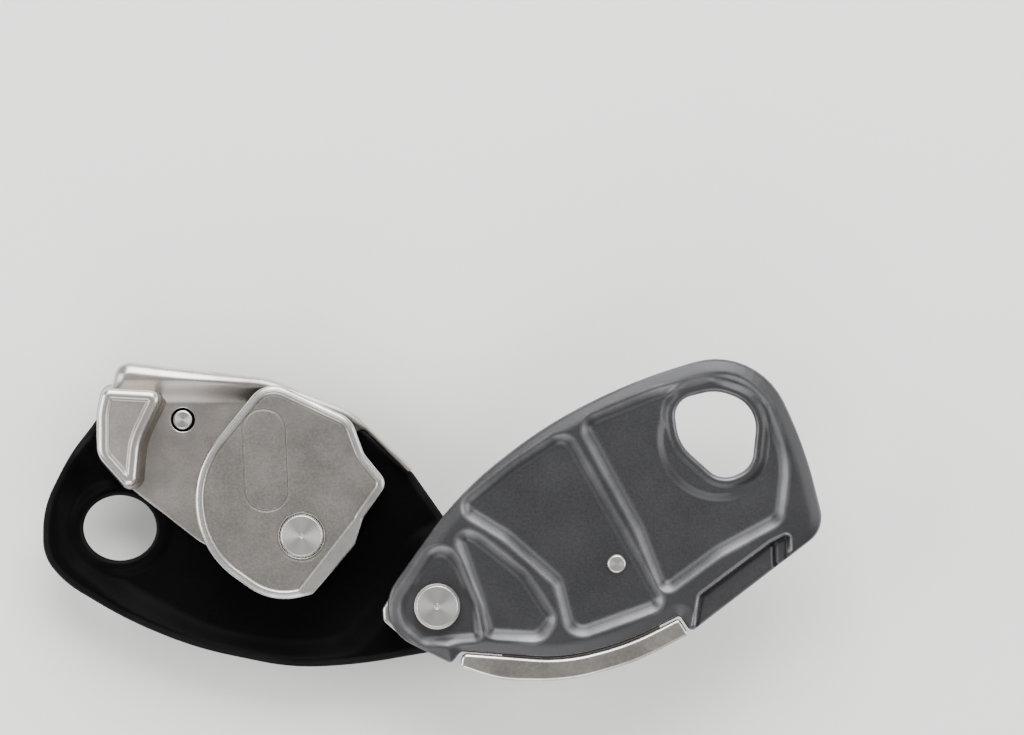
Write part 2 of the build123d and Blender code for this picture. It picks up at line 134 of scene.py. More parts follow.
# ---- settings a user would change ---------------------------------------------------------------
def linear(code):
    """Linear RGBA from an sRGB hex code."""
    parts = [int(code[k:k + 2], 16) / 255 for k in (0, 2, 4)]
    return [c / 12.92 if c <= 0.04045 else ((c + 0.055) / 1.055) ** 2.4 for c in parts] + [1.0]


def colour(name, text, code):
    return bpy.props.FloatVectorProperty(name=name, description=text, subtype="COLOR", size=4,
                                         min=0.0, max=1.0, default=linear(code))


class BelayFinishes(bpy.types.PropertyGroup):
    """Colours of the finishes."""
    fixed_plate: colour("Fixed plate", "Black anodised plate", "070607")
    moving_plate: colour("Moving plate", "Dark grey anodised plate", "454547")
    stainless: colour("Stainless", "Bead-blasted stainless steel", "96918c")
    polished: colour("Polished edge", "Stainless polished by the rope", "d4d1cc")
    nylon: colour("Nylon", "Moulded handle and selector", "1c1c1d")
    bronze: colour("Bronze", "Sintered bushes", "9a7444")
    spring: colour("Spring steel", "Springs, ring and washers", "8b8986")
    floor: colour("Floor", "Pale studio floor", "f4f3f1")


class BelaySizes(bpy.types.PropertyGroup):
    """Sizes of the visible detail."""
    grid: bpy.props.FloatProperty(name="Plate grid", default=0.36, min=0.2, max=2.0,
        description="Spacing of the plates' mesh, in millimetres")
    cam_grid: bpy.props.FloatProperty(name="Cam grid", default=0.22, min=0.15, max=2.0,
        description="Spacing of the cam's mesh, in millimetres")
    edge: bpy.props.FloatProperty(name="Plate edge", default=0.6, min=0.2, max=1.2,
        description="Edge radius of the moving plate, in millimetres")


# ---- shape helpers ------------------------------------------------------------------------------
def rounded(points, at=(0.0, 0.0), pieces=10):
    """Closed line: each corner becomes an arc of its radius, tangent to both its sides."""
    corners = np.array([p[:2] for p in points], float)
    line = []
    previous, following = np.roll(corners, 1, 0), np.roll(corners, -1, 0)
    for before, here, after, (_, _, radius) in zip(previous, corners, following, points):
        u = (before - here) / np.linalg.norm(before - here)
        v = (after - here) / np.linalg.norm(after - here)
        half = math.acos(np.clip(u @ v, -1, 1)) / 2
        centre = here + (u + v) / np.linalg.norm(u + v) * radius / math.sin(half)
        reach = radius / math.tan(half)
        first, last = here + u * reach - centre, here + v * reach - centre
        a, b = math.atan2(first[1], first[0]), math.atan2(last[1], last[0])
        turn = (b - a + math.pi) % (2 * math.pi) - math.pi
        angles = a + turn * np.linspace(0, 1, pieces + 1)
        line.append(centre + radius * np.column_stack([np.cos(angles), np.sin(angles)]))
    return np.concatenate(line) + np.array(at)


def distance_to(line):
    """Signed distance to a closed line, negative inside: the nearest segment gives the distance and the
    number of crossings gives the side."""
    start, end = line, np.roll(line, -1, 0)
    keep = np.linalg.norm(end - start, axis=1) > 1e-9
    start, along = start[keep], (end - start)[keep]

    def field(p):
        out = np.empty(len(p))
        for first in range(0, len(p), 8000):
            q = p[first:first + 8000, None, :] - start[None]
            t = np.clip((q * along).sum(2) / (along ** 2).sum(1), 0, 1)
            gap = np.linalg.norm(q - t[..., None] * along, axis=2).min(1)
            rises = (q[..., 1] >= 0) != (q[..., 1] >= along[:, 1])
            side = (q[..., 0] * along[:, 1] - q[..., 1] * along[:, 0]) * np.sign(along[:, 1]) < 0
            odd = (rises & side).sum(1) % 2 == 1
            out[first:first + 8000] = np.where(odd, -gap, gap)
        return out
    return field


def circle_field(centre, radius):
    return lambda p: np.linalg.norm(p - np.asarray(centre), axis=1) - radius


def hole(field):
    """The solid outside a hole: the same distance with its sign turned."""
    return lambda p: -field(p)


def step(value, width):
    """Smooth rise from 0 to 1 as value goes from -width/2 to +width/2."""
    t = np.clip(value / width + 0.5, 0, 1)
    return t * t * (3 - 2 * t)


def gradient(field, p, h=0.02):
    dx, dy = np.array([h, 0.0]), np.array([0.0, h])
    g = np.column_stack([field(p + dx) - field(p - dx), field(p + dy) - field(p - dy)]) / (2 * h)
    return g / np.maximum(np.linalg.norm(g, axis=1), 1e-6)[:, None]


def onto(field, p, level=0.0, rounds=2):
    """Moves points along the distance's slope until it is level there."""
    for _ in range(rounds):
        p = p - (field(p) - level)[:, None] * gradient(field, p)
    return p


def make_mesh(name, points, faces, body, material, replaced=(), attributes=None):
    """Object at the origin from points in millimetres and faces, smooth, riding on a CAD body."""
    mesh = bpy.data.meshes.new(name)
    mesh.from_pydata((np.asarray(points) / MM).tolist(), [], [list(f) for f in faces])
    mesh.polygons.foreach_set("use_smooth", np.ones(len(mesh.polygons), bool))
    for key, values in (attributes or {}).items():
        mesh.attributes.new(key, "FLOAT", "POINT").data.foreach_set("value", np.asarray(values, np.float32))
    mesh.materials.append(material)
    obj = bpy.data.objects.new(name, mesh)
    bpy.context.scene.collection.objects.link(obj)
    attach(obj, body)
    if replaced:
        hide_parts(*replaced)
    return obj


def plate(line, walls, top, bottom, spacing, waist=()):
    """Points, faces and edge wear of a thick plate.

    line is the outline that the plate lies within.
    walls are (distance, top edge, bottom edge): the solid is where every distance is negative.
    A square grid fills it short of the edges, its border is moved onto the walls, and rings then go
    round each edge on a quarter ellipse, down the side by the waist's (inset, height) steps, and back.
    top and bottom give the height at each plan point."""
    band = [max(t[0], b[0]) for _, t, b in walls]

    def inside(p):
        return np.max([field(p) + width for (field, _, _), width in zip(walls, band)], axis=0)

    (low_x, low_y), (high_x, high_y) = line.min(0), line.max(0)
    xs = np.arange(low_x - spacing, high_x + 2 * spacing, spacing)
    ys = np.arange(low_y - spacing, high_y + 2 * spacing, spacing)
    gx, gy = np.meshgrid(xs, ys, indexing="ij")
    cx, cy = gx[:-1, :-1] + spacing / 2, gy[:-1, :-1] + spacing / 2
    kept = inside(np.column_stack([cx.ravel(), cy.ravel()])).reshape(cx.shape) < 0
    for _ in range(3):                                   # no two cells meet at a corner only
        a, b, c, d = kept[:-1, :-1], kept[1:, :-1], kept[:-1, 1:], kept[1:, 1:]
        pinch = (a & d & ~b & ~c) | (b & c & ~a & ~d)
        for view in (a, b, c, d):
            view |= pinch
    index = np.arange(gx.size).reshape(gx.shape)
    i, j = np.nonzero(kept)
    quads = np.column_stack([index[i, j], index[i + 1, j], index[i + 1, j + 1], index[i, j + 1]])
    outer = np.pad(kept, 1)
    sides = [(0, -1, 0, 1), (1, 0, 1, 2), (0, 1, 2, 3), (-1, 0, 3, 0)]
    rim = np.concatenate([quads[~outer[i + 1 + di, j + 1 + dj]][:, [a, b]] for di, dj, a, b in sides])
    used, compact = np.unique(quads, return_inverse=True)
    quads = compact.reshape(quads.shape)
    rim = np.searchsorted(used, rim)
    points = np.column_stack([gx.ravel()[used], gy.ravel()[used]])

    edge_points = np.unique(rim)
    order = np.searchsorted(edge_points, rim)
    follows, leads = np.empty(len(edge_points), int), np.empty(len(edge_points), int)
    follows[order[:, 0]], leads[order[:, 1]] = order[:, 1], order[:, 0]
    border = points[edge_points]
    nearest = np.argmax([field(border) + width for (field, _, _), width in zip(walls, band)], axis=0)

    def settle(p, level):
        """Each border point moved onto its own wall at a level given per wall."""
        p = p.copy()
        for k, (field, _, _) in enumerate(walls):
            mine = nearest == k
            if mine.any():
                p[mine] = onto(field, p[mine], level[k])
        return p

    rim_line = settle(border, [0.0] * len(walls))
    for _ in range(4):
        rim_line = settle((rim_line[follows] + 2 * rim_line + rim_line[leads]) / 4, [0.0] * len(walls))
    points[edge_points] = settle(rim_line, [-width for width in band])

    fixed = np.zeros(len(points), bool)
    fixed[edge_points] = True
    links = np.concatenate([quads[:, [0, 1]], quads[:, [1, 2]], quads[:, [2, 3]], quads[:, [3, 0]]])
    links = np.concatenate([links, links[:, ::-1]])
    count = np.bincount(links[:, 0], minlength=len(points))
    for _ in range(6):                                   # the cells next to the border even out
        mean = np.column_stack([np.bincount(links[:, 0], points[links[:, 1], k], len(points))
                                for k in (0, 1)])
        points = np.where(fixed[:, None], points, mean / count[:, None])

    quarter = np.radians([0, 22, 45, 68, 90])
    rings, wear = [], []
    drop_top = np.array([t[1] for _, t, _ in walls])[nearest]
    drop_low = np.array([b[1] for _, _, b in walls])[nearest]
    for angle in quarter[1:]:
        ring = settle(rim_line, [-w * (1 - math.sin(angle)) for w in band])
        rings.append(np.column_stack([ring, top(ring) - drop_top * (1 - math.cos(angle))]))
        wear.append(np.full(len(ring), math.sin(2 * angle) * 0.6 + 0.4))
    for inset, height in waist:
        ring = settle(rim_line, [-inset] * len(walls))
        rings.append(np.column_stack([ring, np.full(len(ring), height)]))
        wear.append(np.full(len(ring), 0.5))
    for angle in quarter[:0:-1]:
        ring = settle(rim_line, [-w * (1 - math.sin(angle)) for w in band])
        rings.append(np.column_stack([ring, bottom(ring) + drop_low * (1 - math.cos(angle))]))
        wear.append(np.full(len(ring), math.sin(2 * angle) * 0.6 + 0.4))

    upper = np.column_stack([points, top(points)])
    lower = np.column_stack([points, bottom(points)])
    n = len(points)
    all_points = np.concatenate([upper, lower] + rings)
    start = 2 * n + len(edge_points) * np.arange(len(rings))
    chain = [edge_points] + [np.arange(len(edge_points)) + s for s in start] + [edge_points + n]
    faces = [quads, quads[:, ::-1] + n]
    for inner, outer_ring in zip(chain[:-1], chain[1:]):
        a, b = order[:, 0], order[:, 1]
        faces.append(np.column_stack([outer_ring[a], outer_ring[b], inner[b], inner[a]]))
    return all_points, np.concatenate(faces), np.concatenate([np.zeros(2 * n)] + wear)


def lathe(profile, centre, turns=96, closed=False):
    """Points and faces of a turned piece: an (r, z) profile carried round a vertical axis."""
    profile = np.asarray(profile, float)
    angles = np.linspace(0, 2 * math.pi, turns, endpoint=False)
    r, z = profile[:, 0][:, None], profile[:, 1][:, None]
    grid = np.stack([centre[0] + r * np.cos(angles), centre[1] + r * np.sin(angles), z + 0 * angles],
                    axis=2)
    index = np.arange(len(profile) * turns).reshape(len(profile), turns)
    if closed:
        index = np.concatenate([index, index[:1]])
    here, up = index[:-1], index[1:]
    faces = np.stack([here, np.roll(here, -1, 1), np.roll(up, -1, 1), up], axis=2).reshape(-1, 4)
    return grid.reshape(-1, 3), faces


def rounded_profile(corners):
    """Open (r, z) profile from corners with radii; the first and last stay sharp."""
    line = [np.array([corners[0][:2]])]
    for before, here, after in zip(corners[:-2], corners[1:-1], corners[2:]):
        a, b, c = (np.array(p[:2], float) for p in (before, here, after))
        u, v = (a - b) / np.linalg.norm(a - b), (c - b) / np.linalg.norm(c - b)
        reach = here[2]
        t = np.linspace(0, 1, 6)[:, None]
        line.append((1 - t) ** 2 * (b + u * reach) + 2 * t * (1 - t) * b + t ** 2 * (b + v * reach))
    line.append(np.array([corners[-1][:2]]))
    return np.concatenate(line)


def merge(obj):
    """Closes the poles of a turned piece: doubles merged, then normals made to face out."""
    work = bmesh.new()
    work.from_mesh(obj.data)
    bmesh.ops.remove_doubles(work, verts=work.verts, dist=1e-7)
    bmesh.ops.dissolve_degenerate(work, dist=1e-8, edges=work.edges)
    bmesh.ops.recalc_face_normals(work, faces=work.faces)
    work.to_mesh(obj.data)
    work.free()
    return obj


def capsule_field(start, end, radius):
    """Distance to a straight slot with round ends."""
    start, along = np.asarray(start), np.asarray(end) - np.asarray(start)

    def field(p):
        t = np.clip((p - start) @ along / (along @ along), 0, 1)
        return np.linalg.norm(p - start - t[:, None] * along, axis=1) - radius
    return field


def ellipse_field(centre, half):
    """Distance to an oval, near enough for holes that are almost round."""
    def field(p):
        q = (p - centre) / half
        k = np.maximum(np.linalg.norm(q, axis=1), 1e-6)
        return (k - 1) * np.linalg.norm(p - centre, axis=1) / k
    return field


# ---- materials ----------------------------------------------------------------------------------
def add(tree, kind, inputs=None, **settings):
    """Adds one node with its settings, values and links, and returns it."""
    made = tree.nodes.new(kind)
    for key, value in settings.items():
        setattr(made, key, value)
    for socket, value in (inputs or {}).items():
        if isinstance(value, bpy.types.NodeSocket):
            tree.links.new(value, made.inputs[socket])
        else:
            made.inputs[socket].default_value = value
    return made


def colour_out(made):
    """The colour output of a mix node."""
    return [s for s in made.outputs if s.type == "RGBA"][0]


def blend_colours(tree, factor, first, second):
    """Mix of two colours, each a value or an output."""
    made = add(tree, "ShaderNodeMix", {"Factor": factor}, data_type="RGBA")
    slots = {s.name: s for s in made.inputs if s.type == "RGBA"}
    for name, value in (("A", first), ("B", second)):
        if isinstance(value, bpy.types.NodeSocket):
            tree.links.new(value, slots[name])
        else:
            slots[name].default_value = value
    return made


def per_mm(size):
    """Noise scale that gives features of this size, in millimetres, on Object coordinates."""
    return MM / size


def surface(name, base, worn, roughness, worn_roughness, metallic, grain, grain_depth, mottle, spread,
            **fixed):
    """A finish: base colour mottled over some millimetres, fine grain in colour and height, worn edges, and
    painted shade that darkens the marked grooves and creases almost to black.
    """
    made = bpy.data.materials.new(name)
    made.use_nodes = True
    tree = made.node_tree
    shader = tree.nodes["Principled BSDF"]
    where = add(tree, "ShaderNodeTexCoord").outputs["Object"]
    fine = add(tree, "ShaderNodeTexNoise", {"Vector": where, "Scale": per_mm(grain), "Detail": 3.0,
                                            "Roughness": 0.6})
    broad = add(tree, "ShaderNodeTexNoise", {"Vector": where, "Scale": per_mm(mottle), "Detail": 4.0,
                                             "Roughness": 0.55})
    both = add(tree, "ShaderNodeMath", {0: fine.outputs["Fac"], 1: broad.outputs["Fac"]}, operation="ADD")
    amount = add(tree, "ShaderNodeMapRange", {"Value": both.outputs[0], "From Min": 0.7, "From Max": 1.3})
    dark = [c * (1 - spread) for c in base[:3]] + [1.0]
    light = [min(1.0, c * (1 + spread)) for c in base[:3]] + [1.0]
    tone = blend_colours(tree, amount.outputs["Result"], dark, light)
    edge = add(tree, "ShaderNodeAttribute", attribute_name="wear")
    rubbed = add(tree, "ShaderNodeMath", {0: edge.outputs["Fac"], 1: broad.outputs["Fac"]},
                 operation="MULTIPLY")
    strength = add(tree, "ShaderNodeMapRange", {"Value": rubbed.outputs[0], "From Min": 0.12,
                                                "From Max": 0.5})
    # painted shade: a per-point mask darkens grooves and creases towards 0.16 of the base colour, standing in
    # for the shade that falls in them
    crease = add(tree, "ShaderNodeAttribute", attribute_name="crease_shade")
    paint = blend_colours(tree, strength.outputs["Result"], colour_out(tone), worn)
    crease_shade_colour = [c * 0.16 for c in base[:3]] + [1.0]
    crease_shaded = blend_colours(tree, crease.outputs["Fac"], colour_out(paint), crease_shade_colour)
    tree.links.new(colour_out(crease_shaded), shader.inputs["Base Color"])
    gloss = add(tree, "ShaderNodeMapRange", {"Value": both.outputs[0], "From Min": 0.7, "From Max": 1.3,
                                             "To Min": roughness - 0.06, "To Max": roughness + 0.06})
    worn_gloss = add(tree, "ShaderNodeMix", {"Factor": strength.outputs["Result"]}, data_type="FLOAT")
    floats = {s.name: s for s in worn_gloss.inputs if s.type == "VALUE" and s.name in "AB"}
    tree.links.new(gloss.outputs["Result"], floats["A"])
    floats["B"].default_value = worn_roughness
    tree.links.new([s for s in worn_gloss.outputs if s.type == "VALUE"][0], shader.inputs["Roughness"])
    bump = add(tree, "ShaderNodeBump", {"Height": fine.outputs["Fac"], "Distance": grain_depth / MM,
                                        "Strength": 0.6})
    tree.links.new(bump.outputs["Normal"], shader.inputs["Normal"])
    shader.inputs["Metallic"].default_value = metallic
    for socket, value in fixed.items():
        shader.inputs[socket.replace("_", " ")].default_value = value
    return made


TOOL_MARK = 0.2                        # spacing of the lathe's marks, in millimetres


def turned_steel(name, centre, base, roughness):
    """Lathe-turned stainless: fine rings about the piece's own axis catch the light as a fan."""
    made = bpy.data.materials.new(name)
    made.use_nodes = True
    tree = made.node_tree
    shader = tree.nodes["Principled BSDF"]
    where = add(tree, "ShaderNodeTexCoord").outputs["Object"]
    moved = add(tree, "ShaderNodeMapping", {"Vector": where,
                                            "Location": (-centre[0] / MM, -centre[1] / MM, 0.0)})
    apart = add(tree, "ShaderNodeSeparateXYZ", {"Vector": moved.outputs["Vector"]})
    flat = add(tree, "ShaderNodeCombineXYZ", {"X": apart.outputs["X"], "Y": apart.outputs["Y"]})
    rings = add(tree, "ShaderNodeTexWave", {"Vector": flat.outputs["Vector"], "Scale": 0.314 * MM / TOOL_MARK,
                                            "Distortion": 1.5, "Detail": 3.0}, wave_type="RINGS",
                rings_direction="SPHERICAL")
    tone = blend_colours(tree, rings.outputs["Fac"], [c * 0.9 for c in base[:3]] + [1.0], base)
    tree.links.new(colour_out(tone), shader.inputs["Base Color"])
    bump = add(tree, "ShaderNodeBump", {"Height": rings.outputs["Fac"], "Distance": 0.004 / MM,
                                        "Strength": 0.35})
    tree.links.new(bump.outputs["Normal"], shader.inputs["Normal"])
    around = add(tree, "ShaderNodeTangent", direction_type="RADIAL", axis="Z")
    tree.links.new(around.outputs["Tangent"], shader.inputs["Tangent"])
    shader.inputs["Anisotropic"].default_value = 0.75
    shader.inputs["Metallic"].default_value = 1.0
    shader.inputs["Roughness"].default_value = roughness
    return made


FINISHES = {}


def finishes():
    """Every finish, made once from the scene's colours."""
    if FINISHES:
        return FINISHES
    c = bpy.context.scene.belay_finishes
    steel, bright = list(c.stainless), list(c.polished)
    # pressed stainless, bead blasted: soft grey with a fine grain, its edges rubbed bright by the rope
    FINISHES["blasted"] = surface("blasted_stainless_steel", steel, bright, 0.40, 0.24, 1.0, 0.45, 0.02,
                                  7.0, 0.10)
    # cast cam, blasted finer: a shade darker than the sheet and more even
    cast = [v * 0.82 for v in steel[:3]] + [1.0]
    FINISHES["cast"] = surface("cast_stainless_steel", cast, bright, 0.40, 0.24, 1.0, 0.45, 0.02,
                               7.0, 0.05)
    # rope guide, polished by the rope as it runs: the lightest of the steels
    guide = [v * 1.35 for v in steel[:3]] + [1.0]
    FINISHES["guide"] = surface("rope_polished_stainless_steel", guide, bright, 0.38, 0.24, 1.0, 0.45,
                                0.015, 7.0, 0.06)
    # stainless strip, tumbled: smoother than the castings
    strip = [v * 0.98 for v in steel[:3]] + [1.0]
    FINISHES["tumbled"] = surface("tumbled_stainless_steel", strip, bright, 0.36, 0.25, 1.0, 0.6, 0.012,
                                  9.0, 0.08)
    # die-formed aluminium, blasted and black anodised: deep satin black that lightens on its edges
    black, black_edge = list(c.fixed_plate), linear("201e1f")
    FINISHES["black"] = surface("black_anodised_aluminium", black, black_edge, 0.42, 0.34, 0.0, 0.5,
                                0.012, 12.0, 0.16, Specular_IOR_Level=0.03)
    # the same plate anodised dark grey: metal shows through the dye as a soft metallic sheen
    grey, grey_edge = list(c.moving_plate), linear("8a8a8c")
    FINISHES["grey"] = surface("dark_grey_anodised_aluminium", grey, grey_edge, 0.42, 0.32, 0.9, 0.5,
                               0.012, 14.0, 0.08)
    # glass-filled nylon with a spark-eroded mould texture: dull, slightly pebbled black
    FINISHES["nylon"] = surface("moulded_glass_filled_nylon", list(c.nylon), linear("3a3a3b"), 0.55, 0.42, 0.0,
                                0.7, 0.05, 10.0, 0.15, IOR=1.53)
    # sintered bronze: porous, dull yellow-brown
    FINISHES["bronze"] = surface("sintered_bronze", list(c.bronze), linear("b8925c"), 0.45, 0.35, 1.0,
                                 0.3, 0.02, 5.0, 0.12)
    # oiled spring steel: dark, smooth
    FINISHES["spring"] = surface("oiled_spring_steel", list(c.spring), linear("b0aeab"), 0.30, 0.22, 1.0,
                                 0.4, 0.008, 6.0, 0.1)
    return FINISHES


# ---- pieces -------------------------------------------------------------------------------------
class BELAY_OT_fixed_plate(bpy.types.Operator):
    """Dished black side plate: floor, soft rim and raised oval eye"""
    bl_idname = "belay.fixed_plate"
    bl_label = "Fixed plate"

    def execute(self, context):
        line = rounded(FIXED_OUTLINE, AXLE)
        outside, dish = distance_to(line), distance_to(rounded(DISH_OUTLINE, AXLE))
        eye = ellipse_field(EYE, EYE_HALF)

        def top(p):
            """Floor height, plus a smooth rise to the rim past the dish, plus a low collar round the eye."""
            rim = (RIM_TOP - FLOOR) * step(dish(p) + 1.2, 6.5)
            collar = 1.0 * step(2.6 - eye(p), 2.6) * (1 - step(dish(p) + 1.2, 6.5))
            return FLOOR + rim + collar

        def bottom(p):
            return np.maximum(BACK, top(p) - 2.4)

        walls = [(outside, (1.9, 1.5), (0.9, 0.9)), (hole(eye), (0.9, 0.8), (0.6, 0.6)),
                 (hole(circle_field(AXLE, 4.05)), (0.2, 0.2), (0.2, 0.2))]
        made = plate(line, walls, top, bottom, context.scene.belay_sizes.grid)
        make_mesh("fixed_plate_shell", made[0], made[1], "fixed_side", finishes()["black"],
                  ["fixed_side_plate"], {"wear": made[2] * 0.6})
        return {"FINISHED"}


class BELAY_OT_friction_plate(bpy.types.Operator):
    """Stainless friction plate with its rolled lip, and the hollow rope guide"""
    bl_idname = "belay.friction_plate"
    bl_label = "Friction plate"

    def execute(self, context):
        line = rounded(FRICTION_OUTLINE, AXLE)
        outside, inner = distance_to(line), distance_to(rounded(LIP_INNER, AXLE))

        def top(p):
            """Flat sheet that rises smoothly to the lip, less a square-law roll toward its outer edge."""
            lip = step(inner(p) - 0.2, 5.6)
            roll = np.clip(1 + outside(p) / 2.6, 0, 1) ** 2
            return FRICTION_TOP + lip * (LIP_TOP - FRICTION_TOP - 1.5 * roll)

        def bottom(p):
            return FLOOR + 1.0 * step(inner(p) - 1.5, 1.6)

        walls = [(outside, (0.45, 0.45), (0.35, 0.35)),
                 (hole(circle_field(SELECTOR, 2.5)), (0.2, 0.2), (0.2, 0.2)),
                 (hole(circle_field(AXLE, 4.05)), (0.2, 0.2), (0.2, 0.2))]
        points, faces, wear = plate(line, walls, top, bottom, 0.3)
        wear = np.maximum(wear, 0.8 * step(inner(points[:, :2]) - 2.4, 3.0))
        make_mesh("friction_plate_pressing", points, faces, "fixed_side", finishes()["blasted"],
                  ["friction_plate"], {"wear": wear})

        guide_line = rounded(GUIDE_OUTLINE, AXLE)
        guide = distance_to(guide_line)
        flare = [(0.05, FRICTION_TOP + 2.2), (0.0, FRICTION_TOP + 1.2), (-0.3, FRICTION_TOP + 0.5),
                 (-0.9, FRICTION_TOP + 0.1), (-0.9, FRICTION_TOP - 0.4)]
        points, faces, wear = plate(guide_line, [(guide, (1.3, 1.1), (0.3, 0.3))],
                                    lambda p: GUIDE_TOP - 0.55 * step(-guide(p) - 2.1, 0.7),
                                    lambda p: np.full(len(p), FLOOR + 0.3), 0.24, flare)
        wear = np.maximum(wear, 0.5 * step(0.5 - np.abs(guide(points[:, :2]) + 1.5), 0.6)
                          * (points[:, 2] > GUIDE_TOP - 1))
        # painted shade: a dark line along the foot of the step inside the guide's raised rim
        crease_shade = (0.55 * (1 - step(np.abs(guide(points[:, :2]) + 2.3) - 0.1, 0.5))
                 * (points[:, 2] > GUIDE_TOP - 1))
        make_mesh("rope_guide", points, faces, "fixed_side", finishes()["guide"], [],
                  {"wear": wear, "crease_shade": crease_shade})
        return {"FINISHED"}


class BELAY_OT_cam(bpy.types.Operator):
    """Eccentric cam: recessed face with a plain oval line, bevelled front, rope groove, rear boss"""
    bl_idname = "belay.cam"
    bl_label = "Cam"

    def execute(self, context):
        line = rounded(CAM_OUTLINE, AXLE)
        outside, badge = distance_to(line), distance_to(rounded(BADGE_GROOVE, AXLE))
        bevel_point, bevel_normal = AXLE + (15.5, 9.3), np.array([0.788, -0.616])

        def beyond(p):
            """Distance outside the recessed face."""
            return np.maximum(outside(p) + 1.55, (p - bevel_point) @ bevel_normal)

        def top(p):
            """Face height, less a shallow recess, a slope beyond it, and three fine grooves."""
            s = beyond(p)
            oval = 0.16 * (1 - step(np.abs(badge(p)) - 0.1, 0.4))
            border = 0.12 * (1 - step(np.abs(s + 0.25) - 0.08, 0.4))
            seat = 0.14 * (1 - step(np.abs(np.linalg.norm(p - AXLE, axis=1) - 5.1) - 0.1, 0.4))
            return CAM_TOP - 0.28 * step(-s, 0.4) - 0.2 * np.maximum(s, 0) - oval - border - seat

        low_flange = CAM_TOP - 2.6

        def bottom(p):
            """Underside of the front flange, raised over the bush that stands in the bore."""
            clear = step(5.8 - np.linalg.norm(p - AXLE, axis=1), 0.3)
            return low_flange + (CAM_TOP - 1.72 - low_flange) * clear

        walls = [(outside, (0.55, 0.55), (0.4, 0.4)),
                 (hole(circle_field(AXLE, 4.66)), (0.12, 0.12), (0.12, 0.12))]
        points, faces, wear = plate(line, walls, top, bottom, context.scene.belay_sizes.cam_grid)
        plan, face_up = points[:, :2], points[:, 2] > CAM_TOP - 2
        s = beyond(plan)
        wear = np.maximum(wear, 0.75 * step(s + 0.05, 0.3) * face_up)
        # painted shade: dark lines in the oval groove, along the border step and in the seat ring groove
        lines = (np.abs(badge(plan)), np.abs(s + 0.25), np.abs(np.linalg.norm(plan - AXLE, axis=1) - 5.1))
        crease_shade = face_up * np.max([k * (1 - step(d - 0.06, 0.3))
                                  for k, d in zip((0.7, 0.6, 0.75), lines)], axis=0)
        make_mesh("cam_front_flange", points, faces, "cam", finishes()["cast"], ["cam"],
                  {"wear": wear, "crease_shade": crease_shade})
        low_groove = CAM_BOTTOM + 2.8
        hollow = [(0.0, low_flange - 0.2), (0.55, low_flange - 0.9), (1.0, low_flange - 2.0),
                  (1.15, low_flange - 3.25), (1.0, low_flange - 4.5), (0.55, low_flange - 5.6),
                  (0.0, low_groove + 0.2)]

        def waist_wall(p):
            return outside(p) + 0.25

        body = [(waist_wall, (0.1, 0.02), (0.1, 0.02)),
                (hole(circle_field(AXLE, 5.45)), (0.1, 0.02), (0.1, 0.02))]
        points, faces, wear = plate(line, body, lambda p: np.full(len(p), low_flange + 0.05),
                                    lambda p: np.full(len(p), low_groove), 0.45,
                                    hollow)
        make_mesh("cam_rope_groove", points, faces, "cam", finishes()["cast"], [],
                  {"wear": np.maximum(wear, 0.55)})
        boss = [(lambda p: np.maximum(outside(p) + 0.6, circle_field(AXLE, 22.2)(p)),
                 (0.4, 0.4), (0.4, 0.4)),
                (hole(circle_field(AXLE, 5.45)), (0.2, 0.2), (0.2, 0.2))]
        points, faces, wear = plate(line, boss, lambda p: np.full(len(p), low_groove + 0.1),
                                    lambda p: np.full(len(p), CAM_BOTTOM), 0.5)
        make_mesh("cam_rear_boss", points, faces, "cam", finishes()["cast"], [],
                  {"wear": wear})
        return {"FINISHED"}


